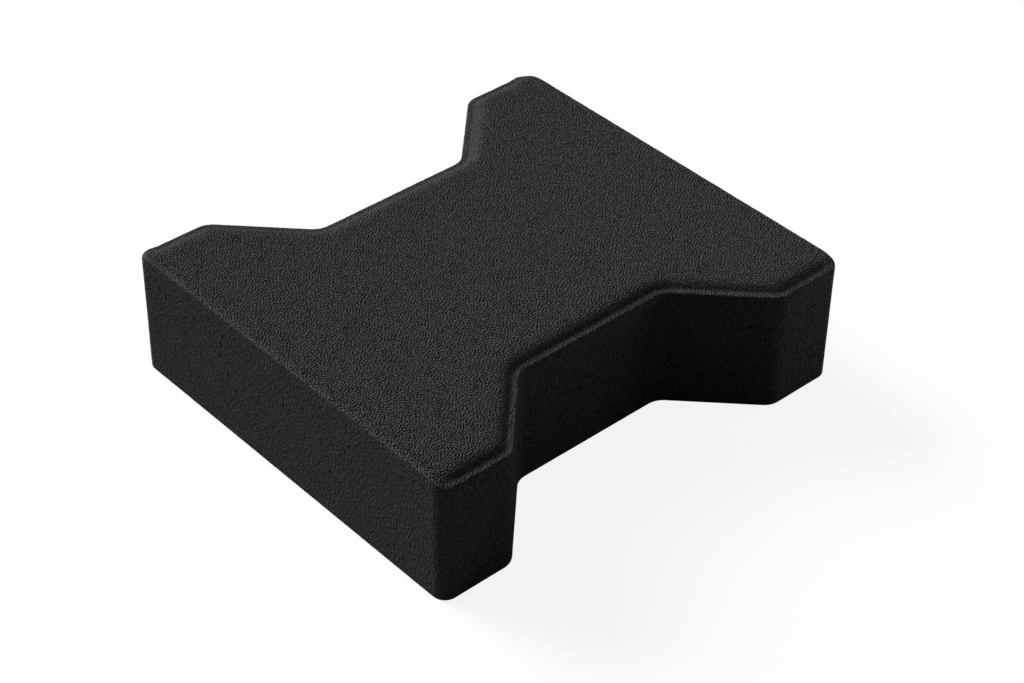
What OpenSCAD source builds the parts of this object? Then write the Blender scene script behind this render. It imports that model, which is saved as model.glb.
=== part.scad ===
// Interlocking concrete paving stone with a notch in each long side, lying on its bed face.
// The origin is under the middle of the stone, X runs along the stone and Z is up.

/* [Stone] */
// Length of the stone between its two straight ends
length = 200; // [180:1:240]
// Width of the stone over its flanges
width = 180; // [150:1:210]
// Thickness of the stone from its bed face to its top face
thickness = 55; // [40:1:100]

/* [Interlock] */
// Depth of the notch in each long side
notch_depth = 32; // [24:1:38]
// Angle of the notch's flanks to the length of the stone
flank_angle = 45.26; // [42:0.01:60]
// Joint left between stones when they are laid
joint = 4; // [2:0.5:5]

/* [Corners] */
// Radius of the upright corners at the straight ends
end_corner_r = 5.5; // [3:0.5:9]
// Radius of the top face's corners where a flange turns into a notch
top_corner_r = 0.5; // [0.5:0.5:4]
// Radius of the hollow corners at the floor of a notch
notch_corner_r = 9; // [6:0.5:14]

/* [Bevel] */
// Width of the level lip that runs outside the bevel
lip_width = 3.2; // [1:0.2:4]
// Width of the bevel's round shoulder, seen from above
shoulder_width = 4.8; // [3:0.2:6]
// Drop from the top face to the lip
lip_drop = 2.4; // [1:0.2:3]
// Width of the rim that stays at full height along each straight end
end_rim = 0.4; // [0.4:0.2:3]
// Length over which the lip rises to that rim
runout = 6; // [3:0.5:12]

/* [Hidden] */
$fn = 96;

// The floor of a notch takes the flanges of two stones laid end to end, with a joint all round them
flank_run = notch_depth / tan(flank_angle);
joint_allowance = joint * (1 + 2 * tan(flank_angle / 2));
flange_land = (length - 2 * flank_run - joint_allowance) / 4;
notch_floor = 2 * flange_land + joint_allowance;

// The bevel turns round a flange's corner, outside the corner of the top face
bevel_width = lip_width + shoulder_width;
flank_corner_r = bevel_width + top_corner_r;

// Straight stretch of a flank between its two round corners
corner_cut = tan(flank_angle / 2);
flank_straight = notch_depth / sin(flank_angle) - (flank_corner_r + notch_corner_r) * corner_cut;

// The sides are built as strips this deep, which overlap the core inside them
strip_depth = flank_corner_r + joint;
past_notch_corner = (notch_corner_r + strip_depth) * corner_cut;

// The shoulder runs level off the top face and steepens on an arc down to the lip, in a few flats
lip_height = thickness - lip_drop;
shoulder_r = (shoulder_width * shoulder_width + lip_drop * lip_drop) / (2 * lip_drop);
shoulder_turn = asin(shoulder_width / shoulder_r);
shoulder_flats = 5;
function down_shoulder(turn) = [bevel_width - shoulder_r * sin(turn), thickness - shoulder_r * (1 - cos(turn))];
function in_microns(point) = [for (v = point) round(v * 1000) / 1000];
shoulder = [for (i = [0 : shoulder_flats]) in_microns(down_shoulder(shoulder_turn * i / shoulder_flats))];

// Section of a side, as distances in from its face and heights
side_section = concat([[0, 0], [strip_depth, 0], [strip_depth, thickness]], shoulder, [[0, lip_height]]);

// Where the flange's round corner is centred, in the quarter at the left of the front side
flank_centre = [flange_land - length / 2 - flank_corner_r * corner_cut, flank_corner_r - width / 2];

// Corners of the core in that quarter
core_quarter = [
    [-length / 2, flank_centre.y],
    flank_centre,
    [-notch_floor / 2 - flank_corner_r * corner_cut, flank_centre.y + notch_depth]
];

function flipped(points, x, y) = [for (p = points) [x * p.x, y * p.y]];
function backwards(points) = [for (i = [len(points) - 1 : -1 : 0]) points[i]];

// The same shape in all four quarters of the stone
module in_each_quarter() {
    for (x = [0, 1], y = [0, 1]) mirror([x, 0, 0]) mirror([0, y, 0]) children();
}

// Middle of the stone, inside its strips, which reaches both straight ends
module core() {
    linear_extrude(thickness) polygon(concat(
        core_quarter,
        backwards(flipped(core_quarter, -1, 1)),
        flipped(core_quarter, -1, -1),
        backwards(flipped(core_quarter, 1, -1))
    ));
}

// Strip along a straight side, from start to end along X, with its face on Y = 0
module straight_side(start, end) {
    translate([start, 0]) rotate([90, 0, 90]) linear_extrude(end - start) polygon(side_section);
}

// Round corner of a flange about the origin, with the lip and the shoulder turned round it
module flange_corner() {
    rotate_extrude() polygon(concat(
        [[0, thickness], [0, 0], [flank_corner_r, 0], [flank_corner_r, lip_height]],
        [for (p = backwards(shoulder)) [flank_corner_r - p.x, p.y]]
    ));
}

// Hollow corner of a notch about the origin, turning on from the direction start
module notch_corner(start) {
    rotate([0, 0, start]) rotate_extrude(angle = flank_angle)
        polygon([for (p = side_section) [notch_corner_r + p.x, p.y]]);
}

// Rim at a straight end, with the ramp on which the lip rises to it
module end_rise() {
    translate([-length / 2, strip_depth - width / 2]) rotate([90, 0, 0]) linear_extrude(strip_depth) polygon([
        [0, 0], [end_rim + runout, 0], [end_rim + runout, lip_height], [end_rim, thickness], [0, thickness]
    ]);
}

// One quarter of the notched side: from the straight end along the flange, up the flank and along the floor
module quarter_side() {
    end_rise();
    translate([0, -width / 2]) straight_side(-length / 2, flank_centre.x);
    translate(flank_centre) {
        flange_corner();
        rotate([0, 0, flank_angle]) {
            translate([0, -flank_corner_r]) straight_side(0, flank_straight + past_notch_corner);
            translate([flank_straight, -flank_corner_r - notch_corner_r]) {
                notch_corner(90 - flank_angle);
                rotate([0, 0, -flank_angle]) translate([0, notch_corner_r])
                    straight_side(-past_notch_corner, notch_floor / 2);
            }
        }
    }
}

// What rounding an end's upright corner takes off
module end_corner_waste() {
    spare = joint;
    translate([-length / 2, -width / 2, -spare]) difference() {
        translate([-spare, -spare]) cube([end_corner_r + spare, end_corner_r + spare, thickness + 2 * spare]);
        translate([end_corner_r, end_corner_r, -spare]) cylinder(r = end_corner_r, h = thickness + 4 * spare);
    }
}

module paving_stone() {
    color([0.19, 0.187, 0.182]) difference() {
        union() {
            core();
            in_each_quarter() quarter_side();
        }
        in_each_quarter() end_corner_waste();
    }
}

paving_stone();
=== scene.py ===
from math import ceil, cos, pi, radians, sin, tan

import bpy
import numpy as np
from mathutils import Matrix, Vector, geometry, kdtree, noise


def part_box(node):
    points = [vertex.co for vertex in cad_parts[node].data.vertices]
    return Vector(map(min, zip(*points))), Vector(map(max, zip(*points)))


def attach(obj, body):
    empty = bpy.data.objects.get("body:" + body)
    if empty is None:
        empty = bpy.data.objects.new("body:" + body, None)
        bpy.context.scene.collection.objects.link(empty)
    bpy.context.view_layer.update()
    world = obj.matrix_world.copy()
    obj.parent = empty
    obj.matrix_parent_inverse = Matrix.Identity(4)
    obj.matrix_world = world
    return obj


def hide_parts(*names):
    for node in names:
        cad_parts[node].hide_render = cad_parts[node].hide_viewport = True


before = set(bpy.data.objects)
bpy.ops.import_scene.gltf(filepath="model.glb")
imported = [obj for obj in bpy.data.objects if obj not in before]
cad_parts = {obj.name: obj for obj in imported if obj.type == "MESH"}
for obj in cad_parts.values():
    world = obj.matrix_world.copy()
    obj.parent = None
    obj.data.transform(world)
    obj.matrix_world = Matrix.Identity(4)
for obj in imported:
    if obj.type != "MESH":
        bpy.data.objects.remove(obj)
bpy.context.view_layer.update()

# Paving stone: one block of anthracite concrete, coloured right through and pressed in a steel mould.
# It is stripped while still damp, so its sides have the mould's close skin with a few pores, and the stamp
# leaves an open sandy grain on top. A bevel and a level lip run along the two notched sides.
mm = 0.001
lowest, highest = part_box("paving_stone")
length, width, thickness = highest - lowest

# Outline of the mould: straight ends, flanges, sloping flanks and the floors of the notches
notch_depth = 32 * mm
flank_angle = radians(45.26)
joint = 4 * mm
end_corner_r = 5.5 * mm
flank_corner_r = 8.5 * mm
notch_corner_r = 9 * mm
flank_run = notch_depth / tan(flank_angle)
joint_allowance = joint * (1 + 2 * tan(flank_angle / 2))
flange_land = (length - 2 * flank_run - joint_allowance) / 4
notch_floor = 2 * flange_land + joint_allowance

# Edges, as distances in from a face and drops below the top, with a width and a drop for each arris
lip_width = 3.2 * mm
shoulder_width = 4.8 * mm
lip_drop = 2.4 * mm
shoulder_r = (shoulder_width ** 2 + lip_drop ** 2) / (2 * lip_drop)
cove_ease = 0.8 * mm
runout = 11 * mm
corner_dip = 2.8 * mm
corner_reach = 11 * mm
side_arris = (0.9 * mm, 0.8 * mm)
end_arris = (2.2 * mm, 0.7 * mm)
bead_height = 0.28 * mm
bead_width = 1.3 * mm
bead_in = 3.3 * mm
bed_arris_r = 0.7 * mm
bed_arris_flats = 3

# Spacing of the mesh's points
outline_step = 1 * mm
top_step = 0.85 * mm
side_step = 1.3 * mm
bed_step = 3 * mm
arris_rings = np.array([0.1, 0.25, 0.45, 0.7, 1.0, 1.4, 1.75]) * mm
bevel_rings = np.arange(2.1, 8.5, 0.42) * mm

# Runs of a quarter of the outline, each a length and the angle it turns through
corner_cut = tan(flank_angle / 2)
flank_straight = notch_depth / sin(flank_angle) - (flank_corner_r + notch_corner_r) * corner_cut
side_route = [
    (flank_corner_r * flank_angle, flank_angle),
    (flank_straight, 0),
    (notch_corner_r * flank_angle, -flank_angle),
    (notch_floor / 2 - notch_corner_r * corner_cut, 0),
]
flange_straight = flange_land - flank_corner_r * corner_cut
flange_route = [(flange_straight, 0), *side_route]
edge_route = [
    (width / 2 - end_corner_r, 0),
    (end_corner_r * pi / 2, pi / 2),
    (flange_straight - end_corner_r, 0),
    *side_route,
]


def walked(start, heading, route, step):
    """Points a step apart along a route of (length, turn) runs, and the directions to their left."""
    points = [np.array([start])]
    lefts = [np.array([[-sin(heading), cos(heading)]])]
    for run, turn in route:
        share = np.linspace(0, 1, ceil(run / step) + 1)[1:]
        headings = heading + turn * share
        if turn:
            sweep = np.stack([np.sin(headings) - sin(heading), cos(heading) - np.cos(headings)], 1)
            moved = run / turn * sweep
        else:
            moved = run * share[:, None] * [[cos(heading), sin(heading)]]
        points.append(points[-1][-1] + moved)
        lefts.append(np.stack([-np.sin(headings), np.cos(headings)], 1))
        heading += turn
    return np.concatenate(points), np.concatenate(lefts)


def all_round(quarter):
    """Carries a quarter's points or directions on round the stone, by mirror and by half a turn."""
    half = np.concatenate([quarter, quarter[-2::-1] * [-1, 1]])
    return np.concatenate([half[:-1], -half[:-1]])


def smooth(share):
    """Eases from 0 to 1."""
    share = np.clip(share, 0, 1)
    return share * share * (3 - 2 * share)


def eased_lower(first, second, ease):
    """The smaller of two drops, with the corner where they cross rounded off."""
    near = np.maximum(ease - np.abs(first - second), 0) / ease
    return np.minimum(first, second) - near ** 2 * ease / 4


def end_distance(points):
    """How far points lie in from a straight end, or from the round corner beside it."""
    over = np.abs(points) - [length / 2 - end_corner_r, width / 2 - end_corner_r]
    reach = np.where((over > 0).all(1), np.hypot(*over.T), over[:, 0])
    return end_corner_r - reach


def bevel_left(points):
    """Share of the bevel that is left where it runs out towards an end."""
    return smooth((length / 2 - np.abs(points[:, 0])) / runout)


def rounding(inset, arris):
    """How far a rounded arris lies below the face that it ends, at an inset from the edge."""
    reach, drop = arris
    tuck = np.clip(1 - inset / reach, 0, 1)
    return drop * (1 - np.sqrt(1 - tuck ** 2))


def top_height(points, side_in, edge_in):
    """Height of the pressed face, with its bevel, lip, rounded arrises, end beads and lower end corners."""
    down = np.clip(lip_width + shoulder_width - side_in, 0, shoulder_r)
    shoulder = shoulder_r - np.sqrt(shoulder_r ** 2 - down ** 2)
    bevel = eased_lower(shoulder, lip_drop, cove_ease)
    from_corner = np.hypot(*([length / 2, width / 2] - np.abs(points)).T)
    dip = corner_dip * np.clip(1 - from_corner / corner_reach, 0, 1) ** 2
    end_in = end_distance(points)
    bead = bead_height * np.exp(-((end_in - bead_in) / bead_width) ** 2)
    arris = np.maximum(rounding(edge_in, side_arris), rounding(end_in, end_arris))
    return thickness + bead - bevel * bevel_left(points) - dip - arris


def grid_inside(limit, step):
    """Points of a triangular grid that lie inside a quarter's limit line, in all four quarters."""
    row_step = step * sin(pi / 3)
    rows = np.arange(-width / 2, width / 2, row_step)
    cells = np.arange(-length / 2, length / 2, step)
    x, y = np.meshgrid(cells, rows)
    x = x + np.where(np.arange(len(rows)) % 2, step / 2, 0)[:, None]
    points = np.stack([x.ravel(), y.ravel()], 1)
    reach = np.interp(-np.abs(points[:, 0]), limit[:, 0], -limit[:, 1])
    clear_of_end = end_distance(points) > arris_rings[-1] + step / 2
    return points[(np.abs(points[:, 1]) < reach - step / 2) & clear_of_end]


def filled(loop_count, points):
    """Triangles over points whose first ones are the closed loop round them."""
    inside_only, too_close = 1, 1e-9
    loop = [(i, (i + 1) % loop_count) for i in range(loop_count)]
    coords = [Vector(p) for p in points]
    _, _, triangles, sources, _, _ = geometry.delaunay_2d_cdt(coords, loop, [], inside_only, too_close)
    first = np.array([ids[0] for ids in sources])
    return first[np.array(triangles)]


def placed(name, data):
    """Puts a mesh, lamp or camera into the scene as a new object."""
    thing = bpy.data.objects.new(name, data)
    bpy.context.scene.collection.objects.link(thing)
    return thing


# The whole edge of the stone, and its notched sides drawn out to sharp ends for the bevel to follow
edge_quarter, edge_lefts = walked((-length / 2, 0), -pi / 2, edge_route, outline_step)
outline, inwards = all_round(edge_quarter), all_round(edge_lefts)
side_quarter, side_lefts = walked((-length / 2, -width / 2), 0, flange_route, outline_step)
side_line, side_inwards = all_round(side_quarter), all_round(side_lefts)
edge_count = len(outline)

# Pressed face: the outline, rings over the arris and the bevel, and a grid over the level middle
top_points, side_ins, edge_ins = [], [], []
beside_end = length / 2 - np.abs(outline[:, 0]) < end_corner_r
for inset in [0, *arris_rings]:
    ring = outline + inset * inwards
    top_points.append(ring)
    side_ins.append(np.where(beside_end, width / 2 - np.abs(ring[:, 1]), inset))
    edge_ins.append(np.full(len(ring), inset))
for inset in bevel_rings:
    ring = side_line + inset * side_inwards
    ring = ring[end_distance(ring) > arris_rings[-1] + outline_step / 2]
    top_points.append(ring)
    side_ins.append(np.full(len(ring), inset))
    edge_ins.append(np.full(len(ring), inset))
middle = grid_inside(side_quarter + bevel_rings[-1] * side_lefts, top_step)
side_tree = kdtree.KDTree(len(side_line))
for number, point in enumerate(side_line):
    side_tree.insert((*point, 0), number)
side_tree.balance()
top_points.append(middle)
side_ins.append([side_tree.find((*point, 0))[2] for point in middle])
edge_ins.append(end_distance(middle))
top_points = np.concatenate(top_points)
side_ins = np.concatenate(side_ins)
edge_ins = np.concatenate(edge_ins)
top_count = len(top_points)
top_z = top_height(top_points, side_ins, edge_ins)
skirt = top_z[:edge_count]
top_triangles = filled(edge_count, top_points)

# Sides: rows of the outline, from the pressed face's arris down to the bed's
row_count = round(thickness / side_step)
rows = []
for share in np.linspace(1, 0, row_count + 1)[1:]:
    rows.append(np.column_stack([outline, bed_arris_r + share * (skirt - bed_arris_r)]))
for turn in radians(90) * np.arange(1, bed_arris_flats + 1) / bed_arris_flats:
    inset = bed_arris_r * (1 - cos(turn))
    level = np.full(edge_count, bed_arris_r * (1 - sin(turn)))
    rows.append(np.column_stack([outline + inset * inwards, level]))

# Bed: level, inside the last row
bed_limit = edge_quarter + (bed_arris_r + bed_step / 2) * edge_lefts
bed_middle = grid_inside(bed_limit, bed_step)
bed_points = np.concatenate([rows[-1][:, :2], bed_middle])
bed_triangles = filled(edge_count, bed_points)

corners = np.concatenate([
    np.column_stack([top_points, top_z]),
    *rows,
    np.column_stack([bed_middle, np.zeros(len(bed_middle))]),
])
row_starts = [0] + [top_count + i * edge_count for i in range(len(rows))]
along = np.arange(edge_count)
onward = (along + 1) % edge_count
quads = [
    np.column_stack([upper + along, lower + along, lower + onward, upper + onward])
    for upper, lower in zip(row_starts, row_starts[1:])
]
faces = top_triangles.tolist() + np.concatenate(quads).tolist()
faces += (bed_triangles[:, ::-1] + row_starts[-1]).tolist()

stone_mesh = bpy.data.meshes.new("paving_stone_skin")
stone_mesh.from_pydata(corners.tolist(), [], faces)
stone_mesh.shade_smooth()

# Relief that the mould and the sand leave: broad waves, sandy unevenness and a crumbly arris
wave_size, wave_depth = 14 * mm, 0.05 * mm
sand_size, sand_depth = 2.2 * mm, 0.035 * mm
sand_roughness, sand_scaling, sand_layers = 0.6, 2.0, 2
crumb_size, crumb_depth = 1.7 * mm, 0.15 * mm
crumb_start = 0.05
crumb_reach = 1.3 * mm
from_arris = np.full(len(corners), length)
from_arris[:top_count] = edge_ins
for start, row in zip(row_starts[1:], rows):
    from_arris[start:start + edge_count] = np.abs(skirt - row[:, 2])
crumbly = 1 - smooth(from_arris / crumb_reach)
bed_free = smooth(corners[:, 2] / bed_arris_r)


def relief(place, arris_share, free):
    """How far a point of the skin stands out from the plain form."""
    wave = wave_depth * noise.noise(place / wave_size)
    sand = sand_depth * noise.fractal(place / sand_size, sand_roughness, sand_scaling, sand_layers)
    crumb = crumb_depth * min(0, noise.noise(place / crumb_size) - crumb_start)
    return (wave + sand + crumb * arris_share) * free


outs = np.zeros(len(corners) * 3)
stone_mesh.vertex_normals.foreach_get("vector", outs)
heights = [relief(Vector(p), a, f) for p, a, f in zip(corners, crumbly, bed_free)]
worn = corners + outs.reshape(-1, 3) * np.array(heights)[:, None]
stone_mesh.vertices.foreach_set("co", worn.ravel())
stone_mesh.update()

# Where the top is paler in a band along the straight ends, and where the stamp has closed it over the bevel
rim_start = 0.5 * mm
rim_reach = 3.4 * mm
calm_start = 3 * mm
end_in = end_distance(top_points)
down_bevel = (lip_width + shoulder_width + calm_start - side_ins) / (calm_start + shoulder_width / 2)
shares = {
    "pale_rim": smooth(end_in / rim_start) * (1 - smooth(end_in / rim_reach)),
    "bevelled": smooth(down_bevel) * bevel_left(top_points),
}
for name, share in shares.items():
    whole = np.zeros(len(corners))
    whole[:top_count] = share
    stone_mesh.attributes.new(name, "FLOAT", "POINT").data.foreach_set("value", whole)

stone = placed("paving_stone_skin", stone_mesh)


class Wire:
    """A node's output that works in Python sums, each of which adds a Math node."""

    def __init__(self, socket):
        self.socket = socket

    def beside(self, output):
        """Another output of the same node."""
        return Wire(self.socket.node.outputs[output])

    def math(self, operation, *terms):
        """Adds a Math node that works on some terms."""
        node = self.socket.id_data.nodes.new("ShaderNodeMath")
        node.operation = operation
        for socket, term in zip(node.inputs, terms):
            fill(socket, term)
        return Wire(node.outputs[0])

    def __add__(self, other):
        return self.math("ADD", self, other)

    def __sub__(self, other):
        return self.math("SUBTRACT", self, other)

    def __rsub__(self, other):
        return self.math("SUBTRACT", other, self)

    def __mul__(self, other):
        return self.math("MULTIPLY", self, other)

    __radd__ = __add__
    __rmul__ = __mul__


def fill(socket, value):
    """Links a wire to a socket, or sets the socket to a plain value."""
    if isinstance(value, Wire):
        socket.id_data.links.new(value.socket, socket)
    else:
        socket.default_value = value


class Finish:
    """A material or world whose nodes are added one at a time."""

    def __init__(self, owner):
        owner.use_nodes = True
        self.owner = owner
        self.nodes = owner.node_tree.nodes
        self.nodes.clear()

    def node(self, kind, settings=None, sockets=None, output=0):
        """Adds a node with its settings first and then its sockets, and returns one of its outputs."""
        node = self.nodes.new("ShaderNode" + kind)
        for name, value in (settings or {}).items():
            setattr(node, name, value)
        for name, value in (sockets or {}).items():
            fill(node.inputs[name], value)
        return Wire(node.outputs[output]) if node.outputs else node

    def mix(self, share, first, second):
        """A colour that goes from the first to the second as the share goes from 0 to 1."""
        share_in, first_in, second_in, mixed_out = 0, 6, 7, 2
        sockets = {share_in: share, first_in: first, second_in: second}
        return self.node("Mix", {"data_type": "RGBA"}, sockets, mixed_out)


# Concrete: dark cement paste with lighter sand in it, palest on the pressed face and in a band along the
# straight ends
concrete_dark = (0.017, 0.0166, 0.0159, 1)
# Pale tone of the sides, set darker than the pressed face's: painted shade on the sides
side_pale_with_painted_shade = (0.056, 0.0545, 0.0524, 1)
concrete_face = (0.069, 0.0672, 0.0646, 1)
# Tone of the paler band along the straight ends of the top
concrete_rim = (0.075, 0.073, 0.07, 1)
# Colour of the pores: painted shade inside the holes
pore_painted_shade = (0.014, 0.0137, 0.0131, 1)
concrete_roughness = 0.9
concrete_gloss = 0.0

# How squarely a surface faces up where the stamp's grain begins, and where it is whole
pressed_from, pressed_full = 0.8, 0.995

# Specks and grain, with sizes in millimetres, and how far the grain is calmed over the bevel
speck_size = 0.55
speck_detail = 1.0
speck_roughness = 0.6
speck_from, speck_full = 0.34, 0.66
grain_size = 1.2
grain_patch = 2
grain_depth = 2.4 * mm
bevel_calm = 0.6

# Skin and pores of the sides, drawn out upwards, with the pores' sizes as shares of their spacing
drawn_out = (1, 1, 0.5)
skin_size = 0.7
skin_depth = 0.45 * mm
pore_spacing = 4
pore_size = 0.18
pore_chance = 0.65
pore_floor, pore_brim = -0.06, 0.02
pore_depth = 0.14 * mm

concrete = Finish(bpy.data.materials.new("anthracite_concrete"))
place = concrete.node("TexCoord", output="Object")
in_mm = concrete.node("VectorMath", {"operation": "SCALE"}, {"Vector": place, "Scale": 1 / mm})
drawn = concrete.node("VectorMath", {"operation": "MULTIPLY"}, {0: in_mm, 1: drawn_out})
facing = concrete.node("NewGeometry", output="Normal")
upward = concrete.node("VectorMath", {"operation": "DOT_PRODUCT"}, {0: facing, 1: (0, 0, 1)}, "Value")
pressed = concrete.node("MapRange", {"interpolation_type": "SMOOTHSTEP"}, {
    "Value": upward, "From Min": pressed_from, "From Max": pressed_full,
})
bevelled = concrete.node("Attribute", {"attribute_name": "bevelled"}, output="Fac")
pale_rim = concrete.node("Attribute", {"attribute_name": "pale_rim"}, output="Fac")

grain = concrete.node("TexGabor", {"gabor_type": "2D"}, {
    "Vector": in_mm, "Scale": 1 / grain_patch, "Frequency": grain_patch / grain_size, "Anisotropy": 0.0,
})
skin = concrete.node("TexNoise", sockets={"Vector": drawn, "Scale": 1 / skin_size, "Detail": 0.0})
pore_sockets = {"Vector": drawn, "Scale": 1 / pore_spacing}
from_pore = concrete.node("TexVoronoi", sockets=pore_sockets, output="Distance")
pore_lot = concrete.node("SeparateColor", sockets={"Color": from_pore.beside("Color")})
pore_edge = (pore_lot - pore_chance) * (pore_size / (1 - pore_chance))
pore = concrete.node("MapRange", {"interpolation_type": "SMOOTHSTEP"}, {
    "Value": from_pore - pore_edge, "From Min": pore_floor, "From Max": pore_brim, "To Min": 1, "To Max": 0,
})
open_grain = grain * pressed * (1 - bevelled * bevel_calm) * grain_depth
close_skin = (skin * skin_depth - pore * pore_depth) * (1 - pressed)
bump = concrete.node("Bump", sockets={"Strength": 1.0, "Distance": 1.0, "Height": open_grain + close_skin})

speck = concrete.node("TexNoise", sockets={
    "Vector": in_mm, "Scale": 1 / speck_size, "Detail": speck_detail, "Roughness": speck_roughness,
})
speck = concrete.node("MapRange", sockets={"Value": speck, "From Min": speck_from, "From Max": speck_full})
# The sides take a darker pale tone than the pressed face: painted shade on the sides
light = concrete.mix(pressed, side_pale_with_painted_shade, concrete_face)
tone = concrete.mix(speck, concrete_dark, light)
# The top turns paler in a speckled band along its straight ends
tone = concrete.mix(pale_rim * speck, tone, concrete_rim)
# Pores on the sides are darkened with painted shade inside the holes
tone = concrete.mix(pore * (1 - pressed), tone, pore_painted_shade)
body = concrete.node("BsdfPrincipled", sockets={
    "Base Color": tone,
    "Roughness": concrete_roughness,
    "Specular IOR Level": concrete_gloss,
    "Normal": bump,
})
concrete.node("OutputMaterial", sockets={"Surface": body})
stone_mesh.materials.append(concrete.owner)

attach(stone, "root")
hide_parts("paving_stone")

# Floor and surround: a pale painted studio floor that the stone lies on, under a plain white surround.
# The floor is wide enough to run out of sight. Both are white to the eye, and the floor dims only where
# the stone keeps the light off it.
floor_size = 8.0
floor_glow = 0.88
floor_seen = (0.12, 0.12, 0.12, 1)
floor_colour = (0.36, 0.36, 0.36, 1)
surround_light = 0.08
white = (1, 1, 1, 1)


def seen(finish):
    """1 where the eye sees a surface straight, by gloss or through glass, else 0."""
    straight = finish.node("LightPath", output="Is Camera Ray")
    gloss = straight.beside("Is Glossy Ray")
    through = straight.beside("Is Transmission Ray")
    return straight.math("MAXIMUM", straight.math("MAXIMUM", straight, gloss), through)


half = floor_size / 2
floor_corners = [(-half, -half, 0), (half, -half, 0), (half, half, 0), (-half, half, 0)]
floor_mesh = bpy.data.meshes.new("studio_floor")
floor_mesh.from_pydata(floor_corners, [], [(0, 1, 2, 3)])
floor = placed("studio_floor", floor_mesh)
paint = Finish(bpy.data.materials.new("studio_floor_paint"))
matt = paint.node("BsdfDiffuse", sockets={"Color": floor_colour})
shade = paint.node("BsdfDiffuse", sockets={"Color": floor_seen})
glow = paint.node("Emission", sockets={"Color": white, "Strength": floor_glow})
bright = paint.node("AddShader", sockets={0: shade, 1: glow})
both = paint.node("MixShader", sockets={0: seen(paint), 1: matt, 2: bright})
paint.node("OutputMaterial", sockets={"Surface": both})
floor_mesh.materials.append(paint.owner)

surround = Finish(bpy.data.worlds.new("studio_surround"))
strength = seen(surround) * (1 - surround_light) + surround_light
sky = surround.node("Background", sockets={"Color": white, "Strength": strength})
surround.node("OutputWorld", sockets={"Surface": sky})
bpy.context.scene.world = surround.owner

# Key light: a broad white light behind a diffuser, set low and far off beyond the back of the stone.
# It rakes over the pressed face, so that the grain shows, and leaves the front bevel in shade.
key_azimuth = radians(103)
key_elevation = radians(28)
key_spread = radians(40)
key_strength = 6.4


def towards(azimuth, elevation):
    """The direction at an azimuth and an elevation."""
    level = cos(elevation)
    return Vector((cos(azimuth) * level, sin(azimuth) * level, sin(elevation)))


key_lamp = bpy.data.lights.new("key_light", "SUN")
key_lamp.energy = key_strength
key_lamp.angle = key_spread
key = placed("key_light", key_lamp)
key.rotation_euler = towards(key_azimuth, key_elevation).to_track_quat("Z", "Y").to_euler()

# Fill light: a small square lamp behind a diffuser, on a low stand off the front right corner.
# It is weak, and lifts the front of the flange that is nearest to it out of the shade.
fill_place = Vector((330, -200, 90)) * mm
fill_power = 0.31
fill_size = 150 * mm
fill_lamp = bpy.data.lights.new("fill_light", "AREA")
fill_lamp.energy = fill_power
fill_lamp.size = fill_size
fill_light = placed("fill_light", fill_lamp)
fill_light.location = fill_place
fill_light.rotation_euler = fill_place.to_track_quat("Z", "Y").to_euler()

# Camera: a full-frame camera with a long lens, on a tripod in front of the near left corner of the stone.
# It looks down over that corner, and is rolled a little about its line of sight.
sensor = 36.0
lens = 86.03
aim = Vector((-5.2, -19.6, 27.5)) * mm
look_azimuth = radians(47.51)
look_down = radians(38.35)
look_roll = radians(1.12)
eye_distance = 935.1 * mm
look = towards(look_azimuth, -look_down)
camera = placed("camera", bpy.data.cameras.new("camera"))
camera.data.sensor_width = sensor
camera.data.lens = lens
upright = look.to_track_quat("-Z", "Y").to_matrix()
turned = upright @ Matrix.Rotation(look_roll, 3, "Z")
camera.matrix_world = Matrix.Translation(aim - eye_distance * look) @ turned.to_4x4()
bpy.context.scene.camera = camera
bpy.context.scene.view_settings.view_transform = "Standard"
